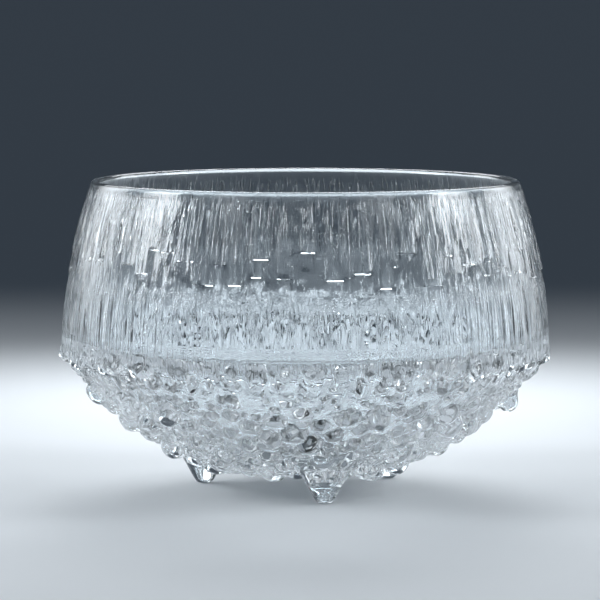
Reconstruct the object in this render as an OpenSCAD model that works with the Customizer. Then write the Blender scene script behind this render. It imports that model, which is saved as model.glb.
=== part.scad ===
// Footed serving bowl, cast in one piece in clear glass.
// Lengths are in millimetres and heights are measured from the table.
// The wall is a shell of revolution with raised strips of bark-like relief.
// The underside is a shallow dome, covered in knobs, that stands on three cone feet.

/* [Bowl] */
// Overall height, from the foot tips to the rim
height = 125; // [118:1:135]
// Outside diameter at the rim
rim_d = 173; // [166:1:182]
// Outside diameter at the shoulder, the widest place
shoulder_d = 196; // [190:1:204]
// Height of the shoulder, where the wall is widest
shoulder_h = 57.5; // [56:0.5:62]
// How far the wall bulges outside a straight line from shoulder to rim
belly = 2.3; // [1:0.1:4]

/* [Underside] */
// Diameter of the flat in the middle of the underside
base_d = 70; // [60:1:78]
// Height of the wall's lower edge
edge_h = 54.5; // [52:0.5:55.5]
// Depth of the step from the wall's lower edge in to the dome
edge_step = 3; // [1.5:0.1:4]
// Height of the flat in the middle of the underside
base_h = 11; // [10:0.5:13]

/* [Glass] */
// Thickness of the rounded lip
rim_t = 3.5; // [3:0.1:5]
// Thickness of the wall at the shoulder
wall_t = 6.5; // [5:0.1:8]
// Thickness of the dome and of the bowl's floor
floor_t = 7.5; // [6:0.1:9]

/* [Upper strips] */
// Number of flat strips that run down from the lip and end in a ledge
strip_count = 60; // [30:1:66]
// Width of a mean strip
strip_w = 6.2; // [4:0.1:7]
// How far a strip's ledge stands out of the wall
strip_ledge = 0.7; // [0.4:0.1:1.2]
// Distance from the rim to the top of the highest strips
strip_top_drop = 6; // [5:0.5:9]
// Length of a mean strip
strip_l = 24; // [16:1:28]

/* [Lower ribs] */
// Number of narrow ribs that rise from the shoulder
rib_count = 96; // [40:1:112]
// Width of a mean rib
rib_w = 2.8; // [2:0.1:3.6]
// How far a rib stands out of the wall
rib_rise = 0.6; // [0.4:0.1:1]
// Length of a mean rib
rib_l = 26; // [15:1:30]

/* [Knobs] */
// Number of places for knobs on the underside
knob_count = 240; // [150:10:290]
// Diameter of a mean knob
knob_d = 9.6; // [7:0.1:10.4]
// Depth of a knob's middle in the glass, as a share of the knob's radius
knob_sink = 0.3; // [0:0.05:0.5]
// Radius of the field of knobs, seen from below
knob_field_r = 83.5; // [76:0.5:84.5]

/* [Drips] */
// Number of drips that hang from the wall's lower edge
drip_count = 60; // [30:1:72]
// Width of a mean drip
drip_w = 4.2; // [2:0.1:5]
// How far a drip stands out of the dome
drip_rise = 2; // [0.8:0.1:2.4]
// Length of a mean drip
drip_l = 6; // [4:0.5:7]
// Diameter of the bead at a drip's end
bead_d = 5.6; // [4:0.1:7]

/* [Feet] */
// Diameter of the circle that the three feet stand on
foot_circle_d = 88; // [78:1:96]
// Diameter of a foot where it leaves the dome
foot_d = 22; // [18:0.5:24]
// Diameter of the flat that is ground on a foot's tip
foot_tip_d = 4; // [3:0.5:5]
// Direction of the first foot, counted from the front towards the right
foot_angle = 10; // [-60:1:60]

/* [Drops] */
// Diameter of the circle of six glass drops under the shoulder
drop_circle_d = 165; // [158:1:168]
// Diameter of a drop's round tip
drop_d = 8; // [6:0.5:9]
// How much a drop widens towards its root, as the slope of its side
drop_flare = 18; // [10:1:24]
// How far a drop leans outwards from upright
drop_lean = 22; // [10:1:30]
// Height of the drops' tips
drop_tip_h = 32.5; // [29:0.5:36]
// Direction of the first drop, counted from the front towards the right
drop_angle = 20; // [-30:1:30]

/* [Hidden] */

rim_r = rim_d / 2;
shoulder_r = shoulder_d / 2;
lip_r = rim_t / 2;
edge_round = shoulder_h - edge_h;

// Straight pieces in a full turn: of large rounds, of feet and drops, and of small balls.
fine = 240;
middling = 72;
coarse = 40;
// Even steps along the wall's section, along its small rounds, and along the lip.
wall_steps = 4;
round_steps = 4;
lip_steps = 6;
// Slope, from level, at which the round of the lip and the round of the lower edge end.
lip_end = 20;
edge_end = 15;
// Clear glass with a faint cool cast.
glass = [0.86, 0.91, 0.94, 0.6];

// The wall's outline is one arc over the line from shoulder to rim.
wall_rise = height - lip_r - shoulder_h;
wall_run = shoulder_r - rim_r;
wall_chord = norm([wall_run, wall_rise]);
arc_r = pow(wall_chord, 2) / (8 * belly) + belly / 2;
arc_x = (shoulder_r + rim_r) / 2 - (arc_r - belly) * wall_rise / wall_chord;
arc_z = shoulder_h + wall_rise / 2 - (arc_r - belly) * wall_run / wall_chord;

// The dome is part of a ball, through the rim of the flat base and the step at the wall's lower edge.
dome_edge_r = shoulder_r - edge_step;
base_r = base_d / 2;
dome_depth = edge_h - base_h;
dome_z = (pow(dome_edge_r, 2) - pow(base_r, 2) + pow(edge_h, 2) - pow(base_h, 2)) / (2 * dome_depth);
dome_r = norm([base_r, dome_z - base_h]);

// Features start this deep in the glass, so that they grow out of it.
root = 1.4;
// The tapered ends of the relief lie this deep under the wall's surface.
flush = 0.2;
// Turn from one knob to the next, which packs them evenly like the seeds of a sunflower.
golden = 137.508;
// Features are joined in groups of this many.
group_size = 12;

// How much the features differ from the mean in width, length, rise and diameter, as shares of it.
width_spread = 0.25;
length_spread = 0.35;
rise_spread = 0.3;
knob_spread = 0.3;
bead_spread = 0.2;
// How far a feature strays from its even place, as a share of the spacing.
strip_stray = 0.25;
rib_stray = 0.3;
drip_stray = 0.4;
// How far the tops of the strips and the feet of the ribs stray in height.
strip_top_spread = 0.15;
rib_start = 1.5;
// Rise of a strip at half its length, as a share of its ledge.
strip_middle = 0.6;
// Glass that is left between a large knob and the floor inside the bowl.
knob_cover = 0.5;
// Depth of a bead's middle in the glass, as a share of its radius.
bead_sink = 0.2;
// Slope, from level, at which the round of a foot's tip ends, and the flare of its root, from upright.
nose_end = 28;
hollow_flare = 42;
// Gaps from the axis of a foot and of a drop inside which no knob is placed, as shares of its diameter.
foot_clear = 0.5;
drop_clear = 0.9;
// Length of a drop up to where it is cut off in the glass, in diameters of its tip.
drop_reach = 3;

// Where each kind of feature starts in the scatter, and how far its measures lie apart there.
strips_at = 0;
ribs_at = 500;
knobs_at = 1000;
drips_at = 2000;
start_at = 0;
width_at = 100;
length_at = 200;
turn_at = 300;
rise_at = 400;
bead_at = 500;

foot_count = 3;
drop_count = 6;
foot_angles = [for (i = [0 : foot_count - 1]) foot_angle + i * 360 / foot_count];
drop_angles = [for (i = [0 : drop_count - 1]) drop_angle + i * 360 / drop_count];

// A number from 0 to 1 that looks random but is the same each time.
function scatter(n) = let(v = 43758.5453 * sin(12.9898 * n + 4.1)) v - floor(v);

// A number from 1 - spread to 1 + spread.
function vary(n, spread) = 1 + spread * (2 * scatter(n) - 1);

// Outside radius and inside radius of the wall at height z.
function wall_r(z) = arc_x + sqrt(pow(arc_r, 2) - pow(z - arc_z, 2));
function inner_r(z) = wall_r(z) - rim_t - (wall_t - rim_t) * (height - lip_r - z) / wall_rise;

// Height of the underside at a distance rho from the axis.
function under_h(rho) = max(base_h, dome_z - sqrt(pow(dome_r, 2) - pow(rho, 2)));

// Distance from the axis and height of a point that stands out of the dome.
// lean is the slope of the dome there, from level at the middle.
function on_dome(lean, out) = [(dome_r + out) * sin(lean), dome_z - (dome_r + out) * cos(lean)];

// Place in plan of a thing in direction a, counted from the front towards the right.
function place(a, rho) = [rho * sin(a), -rho * cos(a)];

// Points of an arc in the section, from angle a to angle b.
function arc(centre, r, a, b, steps) =
  [for (i = [0 : steps]) let(t = a + (b - a) * i / steps) centre + r * [cos(t), sin(t)]];

// Heights that cut a stretch of the wall into even steps.
function rungs(low, high, steps) = [for (i = [0 : steps]) low + (high - low) * i / steps];

// Section of the wall, with its round lip and the round lower edge of its skirt.
module wall_section() {
  lip = [rim_r - lip_r, height - lip_r];
  outer = [for (z = rungs(shoulder_h, height - lip_r, wall_steps)) [wall_r(z), z]];
  inner = [for (z = rungs(height - lip_r, edge_h, wall_steps)) [inner_r(z), z]];
  edge = arc([shoulder_r - edge_round, shoulder_h], edge_round, -90, -edge_end, round_steps);
  polygon(concat(edge, outer, arc(lip, lip_r, lip_end, 180 - lip_end, lip_steps), inner));
}

// Section of the dome, with the flat base under it and the flat floor in it.
module dome_section() {
  difference() {
    intersection() {
      translate([0, dome_z]) circle(r = dome_r, $fn = fine);
      translate([0, base_h]) square([dome_edge_r, shoulder_h + floor_t - base_h]);
    }
    intersection() {
      translate([0, dome_z]) circle(r = dome_r - floor_t, $fn = fine);
      translate([-1, base_h + floor_t]) square([shoulder_r, height]);
    }
  }
}

// A sector of a revolve, w wide at the distance rho from the axis, that faces direction a.
module sector(a, w, rho, outline) {
  turn = w / rho * 180 / PI;
  rotate([0, 0, a - 90 - turn / 2]) rotate_extrude(angle = turn, $fn = fine) polygon(outline);
}

// A raised stretch of the wall, from height low to height high, curved as the wall is.
// rises says how far it stands out of the glass at even steps along it.
module raised(a, w, low, high, rises) {
  last = len(rises) - 1;
  face = [for (i = [0 : last]) let(z = low + (high - low) * i / last) [wall_r(z) + rises[i], z]];
  back = [[wall_r(high) - root, high], [wall_r(low) - root, low]];
  sector(a, w, wall_r(low), concat(face, back));
}

// An upper strip is flush with the wall at the top and ends in a ledge at the bottom.
module upper_strip(i) {
  n = strips_at + i;
  top = height - strip_top_drop * vary(n + start_at, strip_top_spread);
  l = strip_l * vary(n + length_at, length_spread);
  w = strip_w * vary(n + width_at, width_spread);
  a = 360 * (i + strip_stray * scatter(n + turn_at)) / strip_count;
  ledge = strip_ledge * vary(n + rise_at, rise_spread);
  raised(a, w, top - l, top, [ledge, strip_middle * ledge, -flush]);
}

// A lower rib swells out of the wall above the shoulder and runs out into it.
module lower_rib(i) {
  n = ribs_at + i;
  low = shoulder_h + rib_start * scatter(n + start_at);
  l = rib_l * vary(n + length_at, length_spread);
  w = rib_w * vary(n + width_at, width_spread);
  a = 360 * (i + rib_stray * scatter(n + turn_at)) / rib_count;
  rise = rib_rise * vary(n + rise_at, rise_spread);
  raised(a, w, low, low + l, [-flush, rise, -flush]);
}

// A knob is a ball whose middle lies near the dome's surface.
module knob(i) {
  lean_max = asin(knob_field_r / dome_r);
  lean = acos(1 - (1 - cos(lean_max)) * (i + 0.5) / knob_count);
  r = knob_d / 2 * vary(knobs_at + i, knob_spread);
  sunk = min(knob_sink * r, floor_t - knob_cover - r);
  seat = on_dome(lean, -sunk);
  spot = place(golden * i, seat[0]);
  foot_gap = min([for (f = foot_angles) norm(spot - place(f, foot_circle_d / 2))]);
  drop_gap = min([for (d = drop_angles) norm(spot - place(d, drop_circle_d / 2))]);
  if (foot_gap > foot_d * foot_clear && drop_gap > drop_d * drop_clear)
    translate([spot[0], spot[1], max(seat[1], base_h + sunk)]) sphere(r = r, $fn = coarse);
}

// A drip is a ridge that runs down the dome from inside the wall's edge and ends in a bead.
module drip(i) {
  n = drips_at + i;
  a = 360 * (i + drip_stray * scatter(n + turn_at)) / drip_count;
  r = bead_d / 2 * vary(n + bead_at, bead_spread);
  rise = drip_rise * vary(n + rise_at, rise_spread);
  l = drip_l * vary(n + length_at, length_spread);
  w = drip_w * vary(n + width_at, width_spread);
  lean_top = asin(dome_edge_r / dome_r);
  lean_low = lean_top - l / dome_r * 180 / PI;
  face = [on_dome(lean_low, rise), on_dome(lean_top, rise)];
  tucked = [[dome_edge_r + root, edge_h + root], [dome_edge_r - root, edge_h + root]];
  back = [on_dome(lean_low, -root)];
  sector(a, w, dome_edge_r, concat(face, tucked, back));
  bead = on_dome(lean_low, -bead_sink * r);
  at(a, bead[0]) translate([0, 0, bead[1]]) sphere(r = r, $fn = coarse);
}

// What hangs from the underside is cut off in the middle of the glass.
module rooted() {
  difference() {
    children();
    translate([0, 0, dome_z]) sphere(r = dome_r - floor_t / 2, $fn = fine);
  }
}

// A foot is a cone with a ground flat on its rounded tip, and it runs into the dome in a hollow curve.
module foot() {
  tip_r = foot_tip_d / 2;
  nose = arc([tip_r, tip_r], tip_r, -90, -nose_end, round_steps);
  flank = [foot_d / 2, under_h(foot_circle_d / 2)];
  hollow_h = under_h((foot_circle_d + foot_d) / 2) + root - flank[1];
  hollow = flank + hollow_h * [tan(hollow_flare), 1];
  rotate_extrude($fn = middling) polygon(concat([[0, 0]], nose, [flank, hollow, [0, hollow[1]]]));
}

// A drop is a finger of glass with a round tip, which lies at the origin, and it widens upwards.
module drop() {
  r = drop_d / 2;
  tip = arc([0, 0], r, -90, -drop_flare, round_steps);
  reach = drop_reach * drop_d;
  end = tip[round_steps] + reach * [tan(drop_flare), 1];
  rotate_extrude($fn = middling) polygon(concat(tip, [end, [0, end[1]]]));
}

// Moves a thing from the axis to direction a, and turns it to face that way.
module at(a, rho) {
  translate([place(a, rho)[0], place(a, rho)[1], 0]) rotate([0, 0, a]) children();
}

module shell() {
  rotate_extrude($fn = fine) {
    wall_section();
    dome_section();
  }
}

// Features that repeat are joined to their neighbours first, a few at a time.
module bowl() {
  color(glass) {
    shell();
    for (first = [0 : group_size : strip_count - 1])
      for (i = [first : min(first + group_size, strip_count) - 1]) upper_strip(i);
    for (first = [0 : group_size : rib_count - 1])
      for (i = [first : min(first + group_size, rib_count) - 1]) lower_rib(i);
    for (first = [0 : group_size : knob_count - 1])
      for (i = [first : min(first + group_size, knob_count) - 1]) knob(i);
    for (first = [0 : group_size : drip_count - 1])
      for (i = [first : min(first + group_size, drip_count) - 1]) drip(i);
    rooted() {
      for (a = foot_angles) at(a, foot_circle_d / 2) foot();
      for (a = drop_angles) at(a, drop_circle_d / 2) translate([0, 0, drop_tip_h + drop_d / 2])
        rotate([-drop_lean, 0, 0]) drop();
    }
  }
}

bowl();
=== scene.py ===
# %% [markdown]
# # A footed bowl in clear cast glass
# The real bowl is one piece of glass, cast in a mould: a bulging wall with relief like bark, and below it a
# shallow dome, covered in knobs, that stands on three cone feet. Clear glass has next to no colour. All
# that the eye sees is the studio, bent by the surface, so this lesson is about surface and light.
#
# The bowl could be drawn freely, but then it would drift away from the solid that was built before it. So
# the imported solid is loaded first, its box is kept, and everything is made around it.

# %% Load the frame
import math

import bmesh
import bpy
import numpy as np
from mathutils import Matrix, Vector


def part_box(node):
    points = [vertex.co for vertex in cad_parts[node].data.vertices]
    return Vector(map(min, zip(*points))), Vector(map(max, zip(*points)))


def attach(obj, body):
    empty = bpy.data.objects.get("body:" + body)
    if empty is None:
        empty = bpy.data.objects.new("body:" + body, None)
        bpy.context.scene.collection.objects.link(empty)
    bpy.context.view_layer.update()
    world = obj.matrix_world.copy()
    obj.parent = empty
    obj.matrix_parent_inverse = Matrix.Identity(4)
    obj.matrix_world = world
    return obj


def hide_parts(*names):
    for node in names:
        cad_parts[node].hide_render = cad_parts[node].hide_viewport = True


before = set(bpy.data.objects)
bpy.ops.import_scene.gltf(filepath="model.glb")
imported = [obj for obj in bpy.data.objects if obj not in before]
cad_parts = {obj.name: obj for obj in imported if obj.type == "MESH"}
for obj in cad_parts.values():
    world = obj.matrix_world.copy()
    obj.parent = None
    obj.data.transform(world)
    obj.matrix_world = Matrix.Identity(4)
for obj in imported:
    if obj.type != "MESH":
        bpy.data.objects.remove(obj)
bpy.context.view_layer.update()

MM = 0.001
low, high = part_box("bowl")
print("CAD box in mm:", [round(v / MM, 2) for v in list(low) + list(high)])


# %% [markdown]
# ## The camera
# The photograph was taken with a long lens, from about six degrees above the table. With a long lens the
# rim's ellipse is flat, and the far side looks nearly as large as the near side. A camera can be placed by
# eye and nudged until it fits, but here distance, height and lens were worked out from the outline of the
# rim and the feet, because only then do the bowl's proportions come out right as well.

# %% Camera
CAMERA_PLACE = Vector((0.0, -1.4923, 0.2120))
CAMERA_AIM = Vector((-0.0022, 0.0, 0.0763))
LENS_PER_SENSOR = 6.19
SENSOR = 36.0

bpy.ops.object.camera_add(location=CAMERA_PLACE)
camera = bpy.context.object
camera.rotation_euler = (CAMERA_AIM - CAMERA_PLACE).to_track_quat("-Z", "Y").to_euler()
camera.name = "camera"
camera.data.sensor_width = SENSOR
camera.data.lens = LENS_PER_SENSOR * SENSOR
camera.data.dof.use_dof = False
bpy.context.scene.camera = camera
print("camera at", [round(v, 4) for v in camera.location], "lens", round(camera.data.lens, 1))


# %% [markdown]
# ## The sizes
# Before its relief is cut, the mould for such a bowl is turned on a lathe, so one section line says all
# about the smooth shape. The line could be traced point by point, but a few named sizes are easier to check
# and to change, and they are the sizes of the solid, so the dressed glass lies exactly where the solid does.
# Lengths are in millimetres here, and become metres when points are written to the mesh.

# %% Sizes of the section
HEIGHT = 125.0
RIM_R = 86.5
SHOULDER_R = 98.0
SHOULDER_H = 57.5
BELLY = 2.3  # how far the wall bulges past the straight line from shoulder to lip
EDGE_H = 54.5  # the wall's lower edge
EDGE_STEP = 3.0  # how far the edge stands out past the dome
BASE_H = 11.0
BASE_R = 35.0
LIP_R = 1.75
WALL_T = 6.5  # the wall's thickness at the shoulder
FLOOR_T = 7.5
print("height", HEIGHT, "mm, widest", 2 * SHOULDER_R, "mm, rim", 2 * RIM_R, "mm")


# %% [markdown]
# ### The two arcs
# The wall is one arc from the shoulder to the lip, and the underside is part of a ball. Three facts fix an
# arc. For the wall they are its two ends and its bulge, for the ball they are two points of it and the axis
# that its middle lies on. A curve fitted by hand would leave a gap to the solid, so radius and middle are
# worked out.

# %% Arcs of the wall and the dome
lip_base_h = HEIGHT - LIP_R
wall_rise = lip_base_h - SHOULDER_H
wall_run = SHOULDER_R - RIM_R
wall_chord = math.hypot(wall_run, wall_rise)
arc_r = wall_chord**2 / (8 * BELLY) + BELLY / 2
arc_x = (SHOULDER_R + RIM_R) / 2 - (arc_r - BELLY) * wall_rise / wall_chord
arc_z = SHOULDER_H + wall_rise / 2 - (arc_r - BELLY) * wall_run / wall_chord
dome_edge_r = SHOULDER_R - EDGE_STEP
dome_z = (dome_edge_r**2 - BASE_R**2 + EDGE_H**2 - BASE_H**2) / (2 * (EDGE_H - BASE_H))
dome_r = math.hypot(BASE_R, dome_z - BASE_H)
print("wall arc of", round(arc_r, 1), "mm, dome's ball of", round(dome_r, 1), "mm")


def wall_r(z):
    """Outside radius of the wall at height z."""
    return arc_x + np.sqrt(arc_r**2 - (z - arc_z) ** 2)


def inner_r(z):
    """Inside radius of the wall at height z."""
    return wall_r(z) - 2 * LIP_R - (WALL_T - 2 * LIP_R) * (lip_base_h - z) / wall_rise


def dome_h(rho):
    """Height of the dome at a distance rho from the axis."""
    return dome_z - np.sqrt(dome_r**2 - rho**2)


# %% [markdown]
# ### Points along the section
# A mesh shows only what its points can follow, so they lie close together where the glass has fine relief,
# and far apart where it is smooth. Subdividing the whole bowl would spend most of them on the smooth
# inside. A line with its own spacing for each stretch is as easy to make and needs far fewer points.

# %% Helpers for a line of points
def even(points, step):
    """The same line with points spaced evenly, about step apart."""
    points = np.array(points, float)
    along = np.concatenate([[0], np.cumsum(np.linalg.norm(np.diff(points, axis=0), axis=1))])
    count = max(2, int(round(along[-1] / step)) + 1)
    spots = np.linspace(0, along[-1], count)
    return np.column_stack([np.interp(spots, along, points[:, k]) for k in (0, 1)])


def arc(centre, r, start, end, steps):
    """Points of an arc in the section, angles in degrees."""
    t = np.radians(np.linspace(start, end, steps + 1))
    return np.column_stack([centre[0] + r * np.cos(t), centre[1] + r * np.sin(t)])


def dome_line(start, end, step):
    """The dome's section from one distance from the axis to another."""
    rho = np.linspace(start, end, 200)
    return even(np.column_stack([rho, dome_h(rho)]), step)


def wall_line(start, end, step):
    """The wall's outside section between two heights."""
    z = np.linspace(start, end, 60)
    return even(np.column_stack([wall_r(z), z]), step)


print("the base at 5 mm steps:", even([[0, BASE_H], [BASE_R, BASE_H]], 5)[:, 0])


# %% [markdown]
# ### The outside line
# On the real bowl the wall's lower edge is a soft roll of glass that stands out over the dome, and the lip
# is round, because the glass was warmed again until its edge flowed. Both are arcs in the section; a Bevel
# modifier could round them too, but it would also move the rows that the ledges need.

# %% Outside line
ROW_DOME = 0.84
ROW_EDGE = 0.7
ROW_WALL = 2.4
ROW_LEDGE = 1.15
LEDGES_LOW, LEDGES_HIGH = 84.0, 104.0  # the strips of the wall end between these heights
FINE_R = 63.0  # from here outwards the dome has the wall's close columns
edge_round = SHOULDER_H - EDGE_H
edge_centre = (SHOULDER_R - edge_round, SHOULDER_H)
lip_centre = (RIM_R - LIP_R, lip_base_h)
outside_line = np.vstack(
    [
        dome_line(FINE_R + 0.8, dome_edge_r - 0.1, ROW_DOME),
        even([[dome_edge_r, EDGE_H], [edge_centre[0], EDGE_H]], ROW_EDGE)[:-1],
        arc(edge_centre, edge_round, -90, -5, 5),
        wall_line(SHOULDER_H, LEDGES_LOW, ROW_WALL)[1:],
        wall_line(LEDGES_LOW, LEDGES_HIGH, ROW_LEDGE)[1:],
        wall_line(LEDGES_HIGH, lip_base_h, ROW_WALL)[1:],
        arc(lip_centre, LIP_R, 20, 90, 4),
    ]
)
print("outside line of", len(outside_line), "points")


# %% [markdown]
# ### The inside line
# A plunger presses the inside, so it is smooth: a wall that grows thicker towards the shoulder, and a ball
# one floor's thickness above the dome. A Solidify modifier would give one thickness all over. The real wall
# is thin at the lip and thick below, which bends the light in another way, so the inside has its own line.

# %% Inside line
ROW_INSIDE = 3.2
inner_dome_r = dome_r - FLOOR_T
floor_h = BASE_H + FLOOR_T
floor_r = math.sqrt(inner_dome_r**2 - (dome_z - floor_h) ** 2)


def inner_dome_at(z):
    """Radius of the inside ball at height z."""
    return np.sqrt(inner_dome_r**2 - (dome_z - z) ** 2)


heights = np.linspace(SHOULDER_H - 5, SHOULDER_H + 15, 400)
meet_h = float(heights[np.argmin(np.abs(inner_r(heights) - inner_dome_at(heights)))])
inner_dome = np.linspace(meet_h, floor_h, 120)
inner_dome = np.column_stack([inner_dome_at(inner_dome), inner_dome])
inner_wall = np.linspace(lip_base_h, meet_h, 60)
inner_wall = np.column_stack([inner_r(inner_wall), inner_wall])
inside_line = np.vstack(
    [arc(lip_centre, LIP_R, 115, 180, 3), even(inner_wall, ROW_INSIDE)[1:], even(inner_dome, ROW_INSIDE)[1:]]
)
print("inside line of", len(inside_line), "points, wall meets dome at", round(meet_h, 1), "mm")


# %% [markdown]
# ### Zones
# Turned round the axis, a line gives columns that run together towards the middle. With one number of
# columns for the whole bowl, the middle would be crowded or the wall too coarse for its narrow strips. So
# the section is cut into zones, each with its own number of columns.

# %% Zones of the section
COLUMNS = {"heart": 60, "base": 220, "dome": 420, "wall": 660, "inside": 144, "floor": 40}
zones = [
    ("heart", even([[1.2, BASE_H], [11.0, BASE_H]], 1.1)),
    ("base", even([[12.0, BASE_H], [BASE_R, BASE_H]], 0.9)),
    ("dome", dome_line(BASE_R + 0.7, FINE_R, ROW_DOME)),
    ("wall", outside_line),
    ("inside", inside_line),
    ("floor", even([[floor_r - 3.0, floor_h], [2.0, floor_h]], 4.0)),
]
for zone, line in zones:
    print(zone, len(line), "points,", COLUMNS[zone], "columns")


# %% [markdown]
# ## Spinning the zones
# This step is the lathe. In Blender a line can be turned with the Spin tool or with the Screw modifier.
# Both give the same surface, and the modifier is used here, since it closes the last column onto the first
# by itself. The line starts as one point, and each extrude adds the next point of the section to it.

# %% Spin each zone
WELD = 0.001 * MM


def select_none():
    bpy.ops.object.select_all(action="DESELECT")


def spun(name, line, columns):
    """A line of points in the XZ plane, spun round the Z axis."""
    select_none()
    bpy.ops.mesh.primitive_plane_add(size=MM, location=(line[0][0] * MM, 0, line[0][1] * MM))
    piece = bpy.context.object
    piece.name = name
    bpy.ops.object.mode_set(mode="EDIT")
    bpy.ops.mesh.select_all(action="SELECT")
    bpy.ops.mesh.merge(type="CENTER")
    for a, b in zip(line[:-1], line[1:]):
        move = ((b[0] - a[0]) * MM, 0, (b[1] - a[1]) * MM)
        bpy.ops.mesh.extrude_region_move(TRANSFORM_OT_translate={"value": move})
    bpy.ops.object.mode_set(mode="OBJECT")
    bpy.ops.object.transform_apply(location=True, rotation=True, scale=True)
    bpy.ops.object.modifier_add(type="SCREW")
    turn = piece.modifiers[-1]
    turn.angle = 2 * math.pi
    turn.axis = "Z"
    turn.steps = turn.render_steps = columns
    turn.use_merge_vertices = True
    turn.merge_threshold = WELD
    bpy.ops.object.modifier_apply(modifier=turn.name)
    return piece


rings = [spun("ring_" + zone, line, COLUMNS[zone]) for zone, line in zones]
print("spun", len(rings), "rings,", sum(len(ring.data.vertices) for ring in rings), "points")


# %% [markdown]
# ## One closed skin
# Glass bends light where the ray goes in and where it comes out, so Blender has to know what is inside and
# what is outside. A bowl made of loose rings would look wrong at each gap. The rings could be welded by
# distance, but their columns differ, so the open rims of two neighbours are selected by their place and
# bridged with triangles.

# %% Join the rings
select_none()
for ring in rings:
    ring.select_set(True)
bpy.context.view_layer.objects.active = rings[0]
bpy.ops.object.join()
bowl = rings[0]
bowl.name = "cast_bowl"
print("joined", len(bowl.data.vertices), "points")


# %% Bridge the rims
NEAR_RIM = 0.02 * MM


def select_rims(spots):
    """Selects the open edges that lie on one of the circles (radius, height)."""
    bpy.ops.object.mode_set(mode="EDIT")
    mesh = bmesh.from_edit_mesh(bowl.data)
    bpy.ops.mesh.select_all(action="DESELECT")
    bpy.ops.mesh.select_mode(type="EDGE")
    for edge in (e for e in mesh.edges if e.is_boundary):
        ends = [(math.hypot(v.co.x, v.co.y), v.co.z) for v in edge.verts]
        for r, z in spots:
            if all(abs(a - r * MM) < NEAR_RIM and abs(b - z * MM) < NEAR_RIM for a, b in ends):
                edge.select_set(True)
    bmesh.update_edit_mesh(bowl.data)


for (_, inner_line), (_, outer_line) in zip(zones[:-1], zones[1:]):
    select_rims([inner_line[-1], outer_line[0]])
    bpy.ops.mesh.bridge_edge_loops()
bpy.ops.object.mode_set(mode="OBJECT")
print("bridged", len(zones) - 1, "pairs of rims")


# %% [markdown]
# ### The two middles
# Two small round holes are left, in the middle of the base and of the inside floor. Filled with one face
# each they would be closed, but a face with sixty corners shades badly. Poked, it becomes a fan of
# triangles round a point. Then all faces are turned outwards, because the rings may have come out of the
# Screw modifier inside out, and the open edges are counted.

# %% Close the middles and check the skin
for spot in (zones[0][1][0], zones[-1][1][-1]):
    select_rims([spot])
    bpy.ops.mesh.edge_face_add()
    bpy.ops.mesh.poke()
bpy.ops.mesh.select_mode(type="VERT")
bpy.ops.mesh.select_all(action="SELECT")
bpy.ops.mesh.normals_make_consistent(inside=False)
bpy.ops.object.mode_set(mode="OBJECT")
mesh = bmesh.new()
mesh.from_mesh(bowl.data)
open_edges = sum(1 for e in mesh.edges if not e.is_manifold)
print("open edges:", open_edges, "volume in cm3:", round(mesh.calc_volume() * 1e6, 1))
mesh.free()


# %% [markdown]
# ## The rule of the relief
# The relief looks as if it had grown, with no two strips or knobs alike. It could be sculpted by hand, or
# come from Blender's random numbers. Here it is scattered by a rule: a number that looks random, made from
# the place's own number, and so always the same. The solid uses the same rule, so each strip, rib, knob and
# drip here grows out of one that the solid has, and finer ones fill the spaces between.

# %% The rule
def scatter(n):
    """A number from 0 to 1 for each n, always the same."""
    v = 43758.5453 * np.sin(np.radians(12.9898 * np.asarray(n, float) + 4.1))
    return v - np.floor(v)


def vary(n, spread):
    """A number from 1 - spread to 1 + spread."""
    return 1 + spread * (2 * scatter(n) - 1)


# Each trait has a seed of its own, so that a wide strip isn't always a long one too.
START, WIDTH, LENGTH, TURN, RISE, BEAD = 0, 100, 200, 300, 400, 500
WIDTH_SPREAD, LENGTH_SPREAD, RISE_SPREAD = 0.25, 0.35, 0.3  # how far the sizes of a kind differ
print("the first five numbers:", [round(float(scatter(n)), 3) for n in range(5)])


# %% [markdown]
# ### Soft steps and soft hills
# Hot glass rounds each corner and is nowhere quite even. Two helpers give that. The first is a step with
# soft ends, and the second is a field of low hills, like Blender's noise texture. The texture can be read
# point by point too, but these hills are worked out for all points at once, which is far quicker.

# %% Soft steps and soft hills
def smooth(x):
    """A soft step from 0 to 1."""
    x = np.clip(x, 0, 1)
    return x * x * (3 - 2 * x)


def grain(u, v, seed):
    """Soft random hills on a grid of whole numbers, from -1 to 1."""
    iu, iv = np.floor(u), np.floor(v)
    fu, fv = smooth(u - iu), smooth(v - iv)

    def knot(a, b):
        return 2 * scatter(a * 57.0 + b * 113.0 + seed * 17.0) - 1

    top = knot(iu, iv) * (1 - fu) + knot(iu + 1, iv) * fu
    end = knot(iu, iv + 1) * (1 - fu) + knot(iu + 1, iv + 1) * fu
    return top * (1 - fv) + end * fv


print("the soft step in quarters:", smooth(np.linspace(0, 1, 5)))


# %% [markdown]
# ### The points as numbers
# Nearly a hundred thousand points are to be moved. In a loop over bmesh vertices that takes minutes, and
# with a Displace modifier it would need a picture or a texture for each kind of relief. Read into one array
# of numbers, all points move at once, and each keeps its radius, height and direction round the bowl.

# %% Read the points
count = len(bowl.data.vertices)
points = np.empty(count * 3)
bowl.data.vertices.foreach_get("co", points)
points = points.reshape(-1, 3) / MM
radius = np.hypot(points[:, 0], points[:, 1])
height = points[:, 2].copy()
angle = np.degrees(np.arctan2(points[:, 0], -points[:, 1])) % 360
wall_inside_r = inner_r(np.clip(height, EDGE_H, lip_base_h))
outside_wall = (height > EDGE_H - 0.2) & (radius > (wall_inside_r + 0.5))
on_dome = (height < EDGE_H - 0.01) & (np.hypot(radius, height - dome_z) > dome_r - 3)
print("wall points", int(outside_wall.sum()), "dome points", int(on_dome.sum()))


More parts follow.
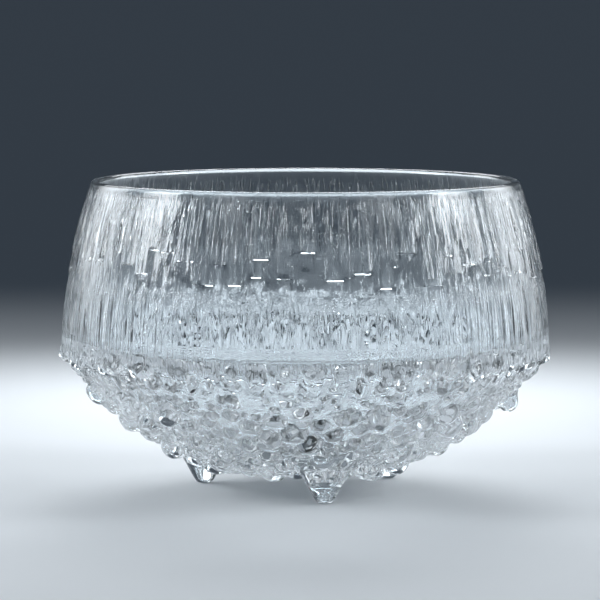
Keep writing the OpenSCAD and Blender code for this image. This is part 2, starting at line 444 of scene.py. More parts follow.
# %% [markdown]
# ## The wall: where the strips lie
# From the lip hang flat strips of glass, like bark that has split, and each ends in a ledge. They could be
# placed one by one, but a hundred and seventy of them are better told by a rule: one strip in each place
# round the bowl, turned a little aside, with its own length, width and ledge. The broad ones are the
# solid's, and narrower ones lie between them and over them.

# %% Places of the strips
STRIPS, STRIP_W, STRIP_LEDGE, STRIP_DROP, STRIP_L = 60, 6.2, 0.7, 6.0, 24.0
SMALL_STRIPS, SMALL_STRIP_SEED = 110, 3000
LEDGE_SHARE = 0.85  # of the solid's ledge, since small strips lie on top


def strip(i):
    """Top, bottom, direction, half width and ledge of one of the solid's strips."""
    top = HEIGHT - STRIP_DROP * vary(i + START, 0.15)
    bottom = top - STRIP_L * vary(i + LENGTH, LENGTH_SPREAD)
    a = 360 * (i + 0.25 * scatter(i + TURN)) / STRIPS
    half = STRIP_W * vary(i + WIDTH, WIDTH_SPREAD) / 2
    return top, bottom, a, half, LEDGE_SHARE * STRIP_LEDGE * vary(i + RISE, RISE_SPREAD)


def small_strip(i):
    """The same for a smaller strip, between the solid's strips."""
    n = i + SMALL_STRIP_SEED
    top = HEIGHT - 5 - 12 * scatter(n)
    bottom = top - 10 - 16 * scatter(n + 200)
    a = 360 * (i + 0.7 * scatter(n + 400)) / SMALL_STRIPS
    return top, bottom, a, 0.7 + 2.0 * scatter(n + 600) ** 2, 0.15 + 0.35 * scatter(n + 800)


strips = [strip(i) for i in range(STRIPS)] + [small_strip(i) for i in range(SMALL_STRIPS)]
print("strips", len(strips))


# %% [markdown]
# ### How a strip stands out
# A strip could be a thin box, joined to the wall with a Boolean, but real strips start flush and melt into
# the wall at their sides. So a strip is a height above the smooth wall, worked out for each point: it grows
# from nothing at the top to the ledge at the bottom, has soft sides, and stops short at its end.

# %% The rise of a strip
SIDE_SOFT, LEDGE_SOFT = 0.9, 0.36


def turn_from(a):
    """How far each point lies from direction a round the bowl, in millimetres."""
    away = (angle - a + 180) % 360 - 180
    return np.radians(away) * radius


def strip_rise(top, bottom, a, half, ledge):
    """How far a strip stands out. It is flush at the top and ends in a sharp ledge at the bottom."""
    along = np.clip((height - bottom) / (top - bottom), 0, 1)
    body = np.interp(along, [0, 0.5, 1], [ledge, 0.6 * ledge, 0])
    side = smooth((half - np.abs(turn_from(a))) / SIDE_SOFT + 0.5)
    end = smooth((height - bottom) / LEDGE_SOFT + 0.5) * (height < top)
    return body * side * end


print("the first strip stands out by", round(float(strip_rise(*strips[0]).max()), 2), "mm")


# %% [markdown]
# ### Crisp ledges
# A ledge on the real bowl is a sharp little step that catches the light as a bright dash. Rows of points
# are 1.15 mm apart there, so a step that falls between two rows would be drawn out into a slope. A finer
# mesh would cure that at a high price. Instead the two rows next to each ledge slide along the wall's
# curve until they lie close above and close below it.

# %% Seat the rows on the ledges
LEDGE_GAP, SIDE_MARGIN, SEAM_W = 0.18, 0.4, 0.5
ledge_zone = outside_wall & (height > LEDGES_LOW - 2) & (height < LEDGES_HIGH + 4)
rows = np.unique(height[ledge_zone].round(2))
row_of = height.round(2)
seam = np.zeros(count)  # 1 along the sides of the strips, for the glass material
seated = 0
for top, bottom, a, half, ledge in strips:
    if not LEDGES_LOW < bottom < LEDGES_HIGH:
        continue
    aside = np.abs(turn_from(a))
    above = outside_wall & (aside < half + SIDE_MARGIN) & (row_of == rows[rows >= bottom].min())
    below = outside_wall & (aside < half + SIDE_MARGIN) & (row_of == rows[rows < bottom].max())
    height[above], height[below] = bottom + LEDGE_GAP, bottom - LEDGE_GAP
    side_line = np.exp(-(((aside - half) / SEAM_W) ** 2))
    seam = np.maximum(seam, side_line * (height > bottom - 1) * (height < top - 4))
    seated += 1
pull = wall_r(height) / wall_r(points[:, 2])
points[outside_wall, :2] *= pull[outside_wall, None]
points[outside_wall, 2] = height[outside_wall]
print("ledges with rows of their own", seated)


# %% [markdown]
# ### Ribs
# From the shoulder rise narrow round ribs that thin out upwards. Each swells out of the wall and runs out
# into it again, so its height is half a wave along its length and part of a circle across. Two that cross
# aren't added up: the higher one shows, as it does where a mould is cut twice in the same place.

# %% Strips and ribs together
RIBS, RIB_W, RIB_RISE, RIB_L, RIB_SEED = 96, 2.8, 0.6, 26.0, 500
RIB_WIDER, RIB_LOWER = 1.15, 0.8  # beside the solid's ribs, since fine ribs fill the gaps
FINE_RIBS, FINE_RIB_SEED = 200, 4000


def rib_rise(low, high, a, half, swell):
    """How far a round rib stands out, between two heights."""
    along = np.clip((height - low) / (high - low), 0, 1)
    side = np.sqrt(np.clip(1 - (turn_from(a) / half) ** 2, 0, 1))
    return swell * np.sin(np.pi * along) ** 0.7 * side


rise = np.zeros(count)
for one in strips:
    rise = np.maximum(rise, strip_rise(*one))
for i in range(RIBS):
    n = i + RIB_SEED
    low = SHOULDER_H + 1.5 * scatter(n + START)
    high = low + RIB_L * vary(n + LENGTH, LENGTH_SPREAD)
    a = 360 * (i + 0.3 * scatter(n + TURN)) / RIBS
    half = RIB_WIDER * RIB_W * vary(n + WIDTH, WIDTH_SPREAD) / 2
    rise = np.maximum(rise, rib_rise(low, high, a, half, RIB_LOWER * RIB_RISE * vary(n + RISE, RISE_SPREAD)))
for i in range(FINE_RIBS):
    n = i + FINE_RIB_SEED
    low = SHOULDER_H - 1 + 10 * scatter(n)
    high = low + 8 + 26 * scatter(n + 200)
    a = 360 * (i + 0.9 * scatter(n + 400)) / FINE_RIBS
    half, swell = 0.9 + 0.5 * scatter(n + 600), 0.15 + 0.25 * scatter(n + 800)
    rise = np.maximum(rise, rib_rise(low, high, a, half, swell))
print("strips and ribs up to", round(float(rise.max()), 2), "mm")


# %% [markdown]
# ### Streaks and the ragged edge
# Between strips and ribs the real wall is still not plain: fine streaks run down it, small grains of glass
# lie where strips end and ribs begin, and the lower edge is ragged, as if the glass had run. All three come
# from the soft hills. Streaks are hills that are a column or two wide and many rows long, grains are about
# as wide as they are high, and the ragged edge moves points up or down and not outwards.

# %% Streaks and grains
column = angle / 360 * COLUMNS["wall"]
lower = smooth((92 - height) / 12)  # 0 on the upper wall, 1 on the lower wall
fade = smooth((HEIGHT - 2.5 - height) / 4) * smooth((height - EDGE_H) / 1.5)  # lip and edge stay smooth


def hills(width, length, seed):
    """Soft hills on the wall, so many columns wide and so many millimetres long."""
    return grain(column / width, height / length, seed)


def band(middle, half):
    """1 at a height, fading out over half on both sides."""
    return np.exp(-(((height - middle) / half) ** 2))


lines = np.clip(np.abs(hills(1.5, 16.0, 1)) - 0.55, 0, 1) * 0.5
streaks = lines + (0.02 + 0.05 * lower) * hills(1.0, 14.0, 5)
streaks += (0.03 + 0.05 * lower) * hills(2.0, 22.0, 2) + 0.08 * hills(5.0, 30.0, 4)
granules = 0.10 * hills(1.3, 1.4, 3) * band(86, 5)
print("streaks and grains up to", round(float((streaks + granules).max()), 2), "mm")


# %% Raise the wall and wave its edge
wall_lift = (rise + streaks + granules) * fade
points[outside_wall, 0] *= (1 + wall_lift / radius)[outside_wall]
points[outside_wall, 1] *= (1 + wall_lift / radius)[outside_wall]
edge_wave = 0.9 * hills(8.0, math.inf, 11) + 0.8 * hills(3.3, math.inf, 12)
edge_wave += 0.9 * hills(1.4, math.inf, 13)
wavy = (outside_wall | on_dome) & (height > 45)
points[wavy, 2] += (edge_wave * band(EDGE_H + 1, 3.5))[wavy]
print("wall relief up to", round(float(wall_lift[outside_wall].max()), 2), "mm")


# %% [markdown]
# ## The underside: which way is out
# Knobs and drips stand out at a right angle to the glass that carries them: away from the ball's middle on
# the dome, straight down on the flat base, and away from the roll's middle on the wall's lower edge.
# Blender's own vertex normals would do, but the wall's relief has already bent them. The smooth shape still
# knows the right way for each point.

# %% Points and directions of the underside
on_edge = outside_wall & (height < SHOULDER_H + 3)
on_base = (height < BASE_H + 0.1) & (radius < BASE_R + 1)
under = np.flatnonzero(on_dome | on_edge | on_base)
seats = points[under].copy()
seat_radius = radius[under]
away = seats - np.array([0, 0, dome_z])
out_way = away / np.linalg.norm(away, axis=1)[:, None]
below_edge = np.minimum(height[under] - edge_centre[1], 0)
from_edge = np.column_stack([seat_radius - edge_centre[0], below_edge])
from_edge /= np.linalg.norm(from_edge, axis=1)[:, None]
out_of_edge = np.column_stack([seats[:, :2] / seat_radius[:, None] * from_edge[:, :1], from_edge[:, 1]])
round_edge = on_edge[under]
out_way[round_edge] = out_of_edge[round_edge]
out_way[seat_radius < BASE_R - 0.1] = (0, 0, -1)
print("underside of", len(under), "points")


# %% [markdown]
# ### Places on the underside
# Three feet and six drops stand on the dome, spaced evenly round it, and whatever else grows there keeps
# out of their way. A place on a bowl is told most easily by its direction and its distance from the axis,
# counted from the front towards the right, which is also how the solid has it.

# %% Places of feet and drops
FOOT_CIRCLE_R, FOOT_D, FOOT_ANGLE = 44.0, 22.0, 10.0
DROP_CIRCLE_R, DROP_D, DROP_ANGLE = 82.5, 8.0, 20.0
foot_angles = [FOOT_ANGLE + 120 * i for i in range(3)]
drop_angles = [DROP_ANGLE + 60 * i for i in range(6)]


def place(a, rho):
    """Plan position of a thing in direction a, counted from the front towards the right."""
    return np.array([rho * math.sin(math.radians(a)), -rho * math.cos(math.radians(a))])


def seat_at(rho, a):
    """The point of the underside at a distance rho from the axis, in direction a."""
    x, y = place(a, rho)
    return np.array([x, y, max(BASE_H, float(dome_h(rho)))])


def gap_to(spot, angles, rho):
    """How far a spot is from the nearest foot or drop, in plan."""
    return min(np.linalg.norm(spot[:2] - place(a, rho)) for a in angles)


print("feet at", foot_angles, "degrees, drops at", drop_angles)


# %% [markdown]
# ### Knobs
# Knobs cover the dome like hobnails. Each is a ball whose middle lies just inside the glass. Spheres could
# be joined on with a Boolean or with metaballs, but pressed glass runs together where two knobs meet, and
# only a little. So the height of each ball is worked out over the dome, and where two balls meet, a soft
# maximum lets them melt into each other.

# %% Melting
MELT_SOFT = 0.1
lift = np.zeros(len(under))


def melt(centre, r, sink, soft=MELT_SOFT):
    """Adds a ball to the relief. Where it meets what is there, the glass runs together."""
    near = np.flatnonzero(np.abs(seats - centre).max(axis=1) < r + 0.5)
    d = np.linalg.norm(seats[near] - centre, axis=1)
    top = np.where(d < r, np.sqrt(np.clip(r * r - d * d, 0, None)) - sink, -soft)
    top = np.maximum(top, -soft)
    old = lift[near]
    h = np.clip(0.5 + 0.5 * (top - old) / soft, 0, 1)
    lift[near] = np.maximum(old, old * (1 - h) + top * h + soft * h * (1 - h) * (top > -soft))


print("points that can be lifted:", len(lift))


# %% [markdown]
# ### The field of knobs
# On the real bowl the knobs lie close, in no rows. Thrown down at random, some would pile up and leave bare
# spots. A sunflower's seeds show a better way: each lies one golden turn on from the last, a little further
# out, so no two line up and the field is filled evenly. Where a foot or a drop stands, the knob is left out.

# %% Knobs
KNOBS, KNOB_D, KNOB_SINK, KNOB_FIELD, KNOB_COVER, KNOB_SEED = 240, 9.6, 0.3, 83.5, 0.5, 1000
GOLDEN = 137.508
lean_max = math.degrees(math.asin(KNOB_FIELD / dome_r))
knobs = []
for i in range(KNOBS):
    share = 1 - (1 - math.cos(math.radians(lean_max))) * (i + 0.5) / KNOBS
    r = float(KNOB_D / 2 * vary(i + KNOB_SEED, 0.3))
    seat = seat_at(dome_r * math.sqrt(1 - share**2), GOLDEN * i)
    free_of_feet = gap_to(seat, foot_angles, FOOT_CIRCLE_R) > FOOT_D * 0.5
    if free_of_feet and gap_to(seat, drop_angles, DROP_CIRCLE_R) > DROP_D * 0.9:
        melt(seat, r, min(KNOB_SINK * r, FLOOR_T - KNOB_COVER - r))
        knobs.append((seat, r))
knob_middles = np.array([seat for seat, r in knobs])
knob_radii = np.array([r for seat, r in knobs])
print("knobs", len(knobs))


# %% [markdown]
# ### Beads between the knobs
# In the gaps the real bowl has small beads. They could be modelled once and copied, but thousands of faces
# would then cut into each other. The same melting rule takes them, and a bead that would sit on top of a
# knob is left out.

# %% Beads
BEADS, BEAD_SEED, BEAD_FIELD, BEAD_SINK = 1500, 5000, 92.0, 0.1
beads = 0
for i in range(BEADS):
    n = i + BEAD_SEED
    rho = BEAD_FIELD * math.sqrt(float(scatter(n)))
    seat = seat_at(rho, 360 * float(scatter(n + BEADS)))
    r = 1.1 + 1.5 * float(scatter(n + 2 * BEADS)) ** 2
    clear = (np.linalg.norm(knob_middles - seat, axis=1) - knob_radii).min()
    if clear > -0.35 * r:
        melt(seat, r, BEAD_SINK * r)
        beads += 1
print("small beads", beads)


# %% [markdown]
# ### Drips
# Under the wall's edge hang short drips that run down the dome and end in a bead, like wax on a candle. A
# drip could be a tapered cylinder laid on the dome. As a ridge in the same relief, it starts inside the
# edge with no seam, and its bead melts into the knobs below. Broad drips are the solid's, and between them
# run narrow ones, each a little aslant.

# %% Drips
DRIPS, DRIP_W, DRIP_RISE, DRIP_L, BEAD_D, DRIP_SEED = 60, 4.2, 2.0, 6.0, 5.6, 2000
FINE_DRIPS, FINE_DRIP_SEED, DRIP_SINK, DRIP_WIDER = 120, 6000, 0.2, 1.1
seat_angle = np.degrees(np.arctan2(seats[:, 0], -seats[:, 1]))


def add_drip(a, length, half, swell, r, slant):
    """A ridge that runs down the dome from the wall's edge, aslant, and ends in a bead."""
    end_r = dome_r * math.sin(math.asin(dome_edge_r / dome_r) - length / dome_r)
    side = np.radians((seat_angle - a + 180) % 360 - 180) * seat_radius
    side = side - slant * np.clip((dome_edge_r - seat_radius) / (dome_edge_r - end_r), 0, 1)
    ridge = swell * np.sqrt(np.clip(1 - (side / half) ** 2, 0, 1)) * (seat_radius > end_r)
    lift[:] = np.maximum(lift, ridge)
    melt(seat_at(end_r, a + math.degrees(slant / end_r)), r, DRIP_SINK * r)


for i in range(DRIPS):
    n = i + DRIP_SEED
    a = 360 * (i + 0.4 * float(scatter(n + TURN))) / DRIPS
    length = float(DRIP_L * vary(n + LENGTH, LENGTH_SPREAD))
    half = float(DRIP_W * vary(n + WIDTH, WIDTH_SPREAD)) / 2
    swell = float(DRIP_RISE * vary(n + RISE, RISE_SPREAD))
    add_drip(a, length, DRIP_WIDER * half, swell, float(BEAD_D / 2 * vary(n + BEAD, 0.2)), 0.0)
for i in range(FINE_DRIPS):
    n = i + FINE_DRIP_SEED
    a = 360 * (i + 0.8 * float(scatter(n))) / FINE_DRIPS
    length = 3.0 + 6.0 * float(scatter(n + 200))
    half = 0.7 + 0.9 * float(scatter(n + 400))
    swell = 0.8 + 1.4 * float(scatter(n + 600))
    slant = 3.0 * (2 * float(scatter(n + 800)) - 1)
    add_drip(a, length, half, swell, 1.1 * half, slant)
print("drips", DRIPS + FINE_DRIPS)


# %% [markdown]
# ### Uneven skin
# A last, low layer of hills keeps knobs and gaps from looking machined. It could be bump in the material,
# but it shows in the outline of the knobs, so it is in the mesh. Towards the wall all relief of the
# underside fades out, so that the roll of the edge stays whole.

# %% Uneven skin
wobble = 0.22 * grain(seats[:, 0] / 2.3, seats[:, 1] / 2.3, 7)
wobble = wobble + 0.12 * grain(seats[:, 0] / 1.1, seats[:, 1] / 1.1, 8)
near_edge = 1 - smooth((seats[:, 2] - EDGE_H) / (SHOULDER_H + 1 - EDGE_H))
lift = np.clip((lift + wobble) * near_edge, -0.3, None)
print("underside relief up to", round(float(lift.max()), 2), "mm")


# %% [markdown]
# ## Feet and drops
# The three feet are short cones with a round tip that run into the dome in a hollow curve, and six drops
# lean outwards under the shoulder. Cones joined on would leave a hard line all round. Here the glass is
# drawn out, as hot glass is: each point of a round patch of the dome moves onto the cone, at the same share
# of the way from the middle of the patch to its rim. The surface stays whole, and there is no seam. To know
# where the cone's root lies, the script first asks how high the smooth underside is beside the cone's axis.

# %% The smooth underside, seen from a foot or a drop
def smooth_underside(origin, up, way, s):
    """Height along the axis of the smooth underside, at a distance s from the axis in each direction."""
    spot = origin + way * s[:, None]
    from_middle = spot - np.array([0, 0, dome_z])
    half_b = from_middle @ up
    c = (from_middle**2).sum(axis=1) - dome_r**2
    ball = -half_b - np.sqrt(np.maximum(half_b**2 - c, 0))
    return np.maximum(ball, (BASE_H - spot[:, 2]) / up[2])


straight_down = smooth_underside(np.zeros(3), np.array([0, 0, 1.0]), np.eye(3)[:1], np.array([FOOT_CIRCLE_R]))
print("underside over the feet's circle:", straight_down.round(2), "mm")


# %% The drawing out
PATCH_REACH = 30  # only points this near along the axis belong to a foot or drop
SEARCH_ROUNDS = 40  # the root is found by guessing and halving the error
TIP_CROWDING = 0.85  # below 1, fewer points are left at the tip and more reach the flank
TIP_GRAIN = 0.18
drawn = np.zeros(len(under))


def draw_out(origin, up, outline):
    """Moves a patch of the underside onto a body of revolution. The outline is a list of distances
    from its axis and heights along its axis, counted from the origin, from the tip to the root."""
    origin, up = np.array(origin, float), np.array(up, float)
    line = np.vstack([[0, outline[0][1]], outline])
    length = np.concatenate([[0], np.cumsum(np.hypot(*np.diff(line, axis=0).T))])
    offset = seats - origin
    along = offset @ up
    across = offset - along[:, None] * up
    d = np.linalg.norm(across, axis=1)
    near = np.flatnonzero((d < line[:, 0].max()) & (np.abs(along) < PATCH_REACH))
    d, way = d[near], across[near] / np.maximum(d[near], 1e-6)[:, None]

    meet = np.full(len(near), line[:, 0].max() * 0.7)  # where the cone meets the underside
    for _ in range(SEARCH_ROUNDS):
        meet_h = smooth_underside(origin, up, way, meet)
        meet = 0.5 * meet + 0.5 * np.interp(meet_h, line[1:, 1], line[1:, 0])
    inside = d < meet
    near, d, way, meet = near[inside], d[inside], way[inside], meet[inside]
    share = d / meet
    end = np.interp(smooth_underside(origin, up, way, meet), line[1:, 1], length[1:])
    spot = share**TIP_CROWDING * end
    r_new, t_new = np.interp(spot, length, line[:, 0]), np.interp(spot, length, line[:, 1])
    seats[near] = origin + way * r_new[:, None] + up * t_new[:, None]

    rough = 0.5 * lift[near] * smooth((share - 0.5) / 0.5) + 0.5 * lift[near] * smooth((share - 0.8) / 0.2)
    uneven = grain(2.0 * r_new + 3 * way[:, 0], 0.7 * t_new + 3 * way[:, 1], 21)
    lift[near] = rough + TIP_GRAIN * uneven * smooth(share * 3 - 1)
    out_way[near] = way - 0.3 * up
    drawn[near] = 1.0
    return len(near)


print("nothing drawn out yet:", int(drawn.sum()), "points")


# %% [markdown]
# ### Their outlines
# Each outline runs from the tip to the root. A foot has a round tip that is ground flat where it stands, a
# straight flank, and a flare where it meets the dome. A drop has a ball for its tip and widens upwards.
# Both are the solid's outlines, so that the bowl stands and measures the same.

# %% Feet and drops
FOOT_TIP_R, FOOT_HOLLOW, FOOT_FLARE = 2.0, 1.4, 42.0
DROP_FLARE, DROP_LEAN, DROP_TIP_H, DROP_L = 18.0, 22.0, 32.5, 24.0

tip_turn = np.radians(np.linspace(-90, -28, 6))
foot_line = [(FOOT_TIP_R + FOOT_TIP_R * math.cos(t), FOOT_TIP_R + FOOT_TIP_R * math.sin(t)) for t in tip_turn]
flank_h = float(dome_h(FOOT_CIRCLE_R))
hollow_h = float(dome_h(FOOT_CIRCLE_R + FOOT_D / 2)) + FOOT_HOLLOW - flank_h
root_r = FOOT_D / 2 + hollow_h * math.tan(math.radians(FOOT_FLARE))
foot_line += [(FOOT_D / 2, flank_h), (root_r, flank_h + hollow_h)]

tip_r, flare, lean = DROP_D / 2, math.radians(DROP_FLARE), math.radians(DROP_LEAN)
drop_line = [(tip_r * math.cos(t), tip_r * math.sin(t)) for t in np.linspace(-math.pi / 2, -flare, 8)]
drop_line += [(drop_line[-1][0] + DROP_L * math.tan(flare), drop_line[-1][1] + DROP_L)]

for a in foot_angles:
    x, y = place(a, FOOT_CIRCLE_R)
    print("foot at", a, "degrees:", draw_out((x, y, 0), (0, 0, 1), foot_line), "points drawn out")
for a in drop_angles:
    x, y = place(a, DROP_CIRCLE_R)
    inward = -place(a, math.sin(lean))
    up = (inward[0], inward[1], math.cos(lean))
    print("drop at", a, "degrees:", draw_out((x, y, DROP_TIP_H + tip_r), up, drop_line), "points drawn out")
points[under] = seats + out_way * lift[:, None]


# %% [markdown]
# ## Writing the shape back
# Cast glass is smooth to the touch, so the faces are shaded smooth. All smooth, though, the ledges would
# look like soft swellings. An edge that turns sharply is therefore marked sharp, one by one: less of a turn
# is needed on the upper wall, where ledges are low, and more below, where knobs must stay round. The Edge
# Split modifier would do the same but cut the skin open, and glass has to stay closed.

# %% Write the points back
SHARP_ON_WALL, SHARP_BELOW = math.radians(28), math.radians(42)
points_m = (points * MM).reshape(-1)
bowl.data.vertices.foreach_set("co", points_m)
bowl.data.update()
bpy.context.view_layer.objects.active = bowl
bowl.select_set(True)
bpy.ops.object.shade_smooth()
mesh = bmesh.new()
mesh.from_mesh(bowl.data)
sharp = 0
for edge in mesh.edges:
    on_upper_wall = min(v.co.z for v in edge.verts) > LEDGES_LOW * MM
    if edge.calc_face_angle(0) > (SHARP_ON_WALL if on_upper_wall else SHARP_BELOW):
        edge.smooth = False
        sharp += 1
mesh.to_mesh(bowl.data)
mesh.free()
print("triangles", sum(len(p.vertices) - 2 for p in bowl.data.polygons), "sharp edges", sharp)


# %% [markdown]
# ## The glass: where each finish lies
# The finest marks of the mould are thinner than the mesh can show: long reeds down the wall, short dashes
# between them, thickest in a band where strips end and ribs begin, and a matt skin in the gaps between
# knobs, while knobs, feet and drops are fire polished. Each finish needs to know where it lies. A painted
# picture could say so, but values stored on the mesh's own points do it without one, and they move with the
# surface. The first value is a place on a straight cylinder, so that marks run straight down the wall.

# %% Store the places of the finishes
def store(name, kind, values):
    """Stores a value for each point on the mesh, for the material to read."""
    layer = bowl.data.attributes.new(name, kind, "POINT")
    layer.data.foreach_set("value" if kind == "FLOAT" else "vector", np.ravel(values).astype(np.float32))
    print(name, "from", round(float(np.min(values)), 3), "to", round(float(np.max(values)), 3))


turn = np.radians(angle)
on_cylinder = np.column_stack([SHOULDER_R * np.sin(turn), -SHOULDER_R * np.cos(turn), height])
store("wall_place", "FLOAT_VECTOR", MM * on_cylinder)
store("lower_wall", "FLOAT", outside_wall * fade * lower)
store("rain_band", "FLOAT", outside_wall * fade * lower * (0.25 + 0.75 * band(84, 7)))
store("upper_wall", "FLOAT", outside_wall * fade * (1 - lower) * np.maximum(1 - 0.85 * band(97, 9), seam))
valleys = 0.25 * outside_wall * band(84, 3)
polished = np.minimum(1, np.maximum(drawn, smooth((lift - 0.3) / 0.6)))
valleys[under] = 0.08 * near_edge * (1 - polished)
store("valleys", "FLOAT", valleys)


# %% [markdown]
# ### Marks in the glass
# A mark is noise, stretched along the wall and cut off below a level, so that only its tops are left. A
# Voronoi or Wave texture would give marks that are too regular for a mould worked by hand. The noise reads
# the stored place on the wall, or Object coordinates below it, so it stays on the glass in every view.

# %% Helpers for the marks
def new_node(tree, kind, **values):
    """A new node with some of its inputs set."""
    node = tree.nodes.new(kind)
    for name, value in values.items():
        node.inputs[name.replace("_", " ")].default_value = value
    return node


def stored(tree, name):
    """The node that reads a value stored on the mesh."""
    node = new_node(tree, "ShaderNodeAttribute")
    node.attribute_name = name
    return node


def marks(tree, spot, scale, stretch, detail, low, high, top=1.0):
    """Noise that reads the height times stretch, so a stretch below 1 gives tall, thin spots. The result
    is 0 where the noise is below low, and rises to top where it is above high."""
    mapping = new_node(tree, "ShaderNodeMapping", Scale=(1, 1, stretch))
    noise = new_node(tree, "ShaderNodeTexNoise", Scale=scale, Detail=detail)
    cut = new_node(tree, "ShaderNodeMapRange", From_Min=low, From_Max=high, To_Max=top)
    tree.links.new(spot, mapping.inputs["Vector"])
    tree.links.new(mapping.outputs["Vector"], noise.inputs["Vector"])
    tree.links.new(noise.outputs["Fac"], cut.inputs["Value"])
    return cut.outputs["Result"]


print("values on the mesh to read:", len(bowl.data.attributes))


# %% [markdown]
# ### The glass itself
# Clear cast glass is a smooth body that bends light by 1.5 and has a faint grey-blue cast where it is thick.
# A Glass BSDF could do that, and so can the Principled BSDF with full transmission, which other programs
# read as well. The marks are added up and drive one bump, because a chain of bumps is slower and harder to
# set. The cast is in the base colour. A volume would deepen it with the thickness, as in real glass, but in
# walls as thin as these nobody would see the difference.

# %% Clear glass
MARK_DEPTH = 0.0004


def clear_glass():
    """Clear cast glass with the marks of its mould."""
    material = bpy.data.materials.new("clear_glass")
    material.use_nodes = True
    tree = material.node_tree
    shader = tree.nodes["Principled BSDF"]
    shader.inputs["Base Color"].default_value = (0.87, 0.905, 0.925, 1)
    shader.inputs["Transmission Weight"].default_value = 1.0
    shader.inputs["IOR"].default_value = 1.5
    shader.inputs["Roughness"].default_value = 0.02

    on_wall = stored(tree, "wall_place").outputs["Vector"]
    on_object = new_node(tree, "ShaderNodeTexCoord").outputs["Object"]
    upper, lower = stored(tree, "upper_wall"), stored(tree, "lower_wall")
    rain, gaps = stored(tree, "rain_band"), stored(tree, "valleys")
    dashes = marks(tree, on_wall, scale=1300.0, stretch=0.1, detail=1.0, low=0.63, high=0.75)
    fine_dashes = marks(tree, on_wall, scale=2400.0, stretch=0.08, detail=0.0, low=0.7, high=0.84)
    reeds = marks(tree, on_wall, scale=850.0, stretch=0.019, detail=0.0, low=0.46, high=0.58, top=0.42)
    skin = marks(tree, on_object, scale=1500.0, stretch=1, detail=1.0, low=0.45, high=0.75)

    total = None
    on_upper_wall = ((dashes, upper), (fine_dashes, upper), (reeds, upper))
    below = ((reeds, lower), (dashes, rain), (skin, gaps))
    for value, mask in on_upper_wall + below:
        layer = tree.nodes.new("ShaderNodeMath")
        layer.operation = "MULTIPLY_ADD"
        tree.links.new(value, layer.inputs[0])
        tree.links.new(mask.outputs["Fac"], layer.inputs[1])
        layer.inputs[2].default_value = 0.0
        if total is not None:
            tree.links.new(total, layer.inputs[2])
        total = layer.outputs["Value"]
    bump = new_node(tree, "ShaderNodeBump", Strength=1.0, Distance=MARK_DEPTH)
    tree.links.new(total, bump.inputs["Height"])
    tree.links.new(bump.outputs["Normal"], shader.inputs["Normal"])
    return material


bowl.data.materials.clear()
bowl.data.materials.append(clear_glass())
print("clear glass with", len(bowl.active_material.node_tree.nodes), "nodes")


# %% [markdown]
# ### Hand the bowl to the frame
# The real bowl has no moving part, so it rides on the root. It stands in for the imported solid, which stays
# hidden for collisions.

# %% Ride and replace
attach(bowl, "root")
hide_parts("bowl")
print(bowl.name, "rides on root and replaces bowl")


# %% [markdown]
# ## The studio: the floor
# The bowl stands on a plain pale table that runs out of sight. A small plane would show its edge through
# the glass, as a line that the wall bends and repeats, so the floor is a circle far larger than the view.
# It lies a fifth of a millimetre below the feet, so that the two surfaces don't fight.

# %% Pale floor
FLOOR_R, FLOOR_GAP = 40.0, 0.0002
select_none()
bpy.ops.mesh.primitive_circle_add(vertices=128, radius=FLOOR_R, fill_type="NGON", location=(0, 0, -FLOOR_GAP))
floor = bpy.context.object
floor.name = "floor"
floor_material = bpy.data.materials.new("pale_floor")
floor_material.use_nodes = True
floor_shader = floor_material.node_tree.nodes["Principled BSDF"]
floor_shader.inputs["Base Color"].default_value = (0.66, 0.68, 0.70, 1)
floor_shader.inputs["Roughness"].default_value = 0.7
floor.data.materials.append(floor_material)
print("floor of", round(2 * FLOOR_R), "m across")


# %% [markdown]
# ### Soft light
# Glass is lit from behind and from the sides: light from the front goes straight through it. The lamp
# behind shows as bright dashes in the ledges, the ones beside it brighten the sides of the wall, and the
# left and right ones lie as soft patches on the shoulders of the wall. Two in front keep the near floor
# pale. The lamp above makes a pool of light on the floor behind the bowl. Seen through the glass, the pool
# fills the lower wall, and the dark room beyond fills the upper wall. Area lamps with a spread act like
# softboxes with a grid, which sun or point lamps can't.

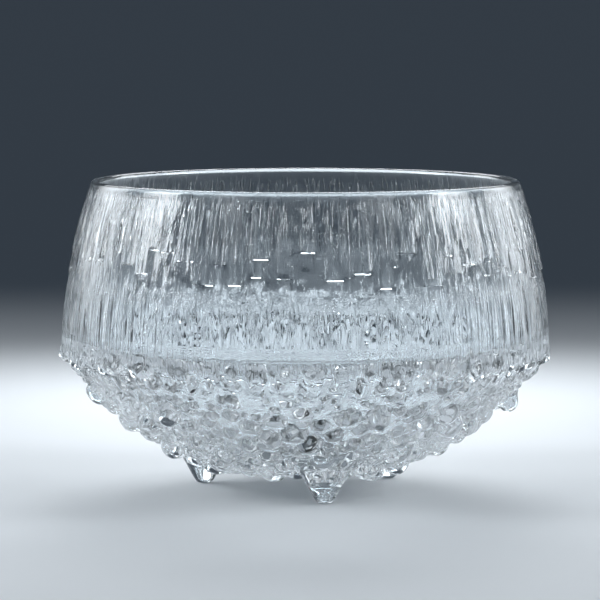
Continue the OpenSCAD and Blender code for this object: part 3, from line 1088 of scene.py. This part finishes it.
# %% Softboxes
LAMP_COLOUR = (0.92, 0.965, 1.0)
BOWL_MIDDLE, FRONT_FLOOR, POOL = (0, 0, 0.06), (0, -0.4, 0), (0, 0.33, 0.0)
UPPER_WALL = (0, 0, 0.11)
SOFTBOXES = [  # name, place, aim, size in metres, brightness of the face, spread in degrees
    ("back_softbox", (0.0, 1.1, 0.88), BOWL_MIDDLE, (1.5, 0.6), 0.8, 60),
    ("back_left_softbox", (-0.6, 0.42, 0.3), BOWL_MIDDLE, (0.5, 0.58), 0.46, 50),
    ("back_right_softbox", (0.6, 0.42, 0.3), BOWL_MIDDLE, (0.5, 0.58), 0.46, 50),
    ("left_softbox", (-0.78, -0.12, 0.42), UPPER_WALL, (0.34, 0.38), 1.1, 50),
    ("right_softbox", (0.78, -0.12, 0.42), UPPER_WALL, (0.34, 0.38), 1.1, 50),
    ("front_left_softbox", (-0.7, -0.9, 0.7), FRONT_FLOOR, (0.4, 0.5), 0.45, 60),
    ("front_right_softbox", (0.7, -0.9, 0.7), FRONT_FLOOR, (0.4, 0.5), 0.45, 60),
    ("top_softbox", (0.0, 0.6, 0.85), POOL, (0.3, 0.12), 3.45, 34),
]


def softbox(name, location, aim, size, strength, spread):
    """A soft light that looks at aim. A narrow spread keeps its light together, as a grid does."""
    bpy.ops.object.light_add(type="AREA", location=location)
    lamp = bpy.context.object
    lamp.name = name
    lamp.data.shape = "RECTANGLE"
    lamp.data.size, lamp.data.size_y = size
    lamp.data.energy = strength * math.pi * size[0] * size[1]
    lamp.data.color = LAMP_COLOUR
    lamp.data.spread = math.radians(spread)
    lamp.rotation_euler = (Vector(aim) - Vector(location)).to_track_quat("-Z", "Y").to_euler()
    print(name, round(lamp.data.energy, 2), "W")


for box in SOFTBOXES:
    softbox(*box)


# %% [markdown]
# ### The room
# Round a glass photographer's table it is dark, or the glass would have no outline. A black room would
# leave black patches in the glass, so the world is a dark slate grey, plain and even. The picture is shown
# with the Standard view, so that colours come out as they are written.

# %% Room and view
world = bpy.context.scene.world or bpy.data.worlds.new("room")
bpy.context.scene.world = world
world.use_nodes = True
room = world.node_tree.nodes["Background"]
room.inputs["Color"].default_value = (0.048, 0.062, 0.08, 1)
room.inputs["Strength"].default_value = 1.0
bpy.context.scene.view_settings.view_transform = "Standard"
print("view transform", bpy.context.scene.view_settings.view_transform)
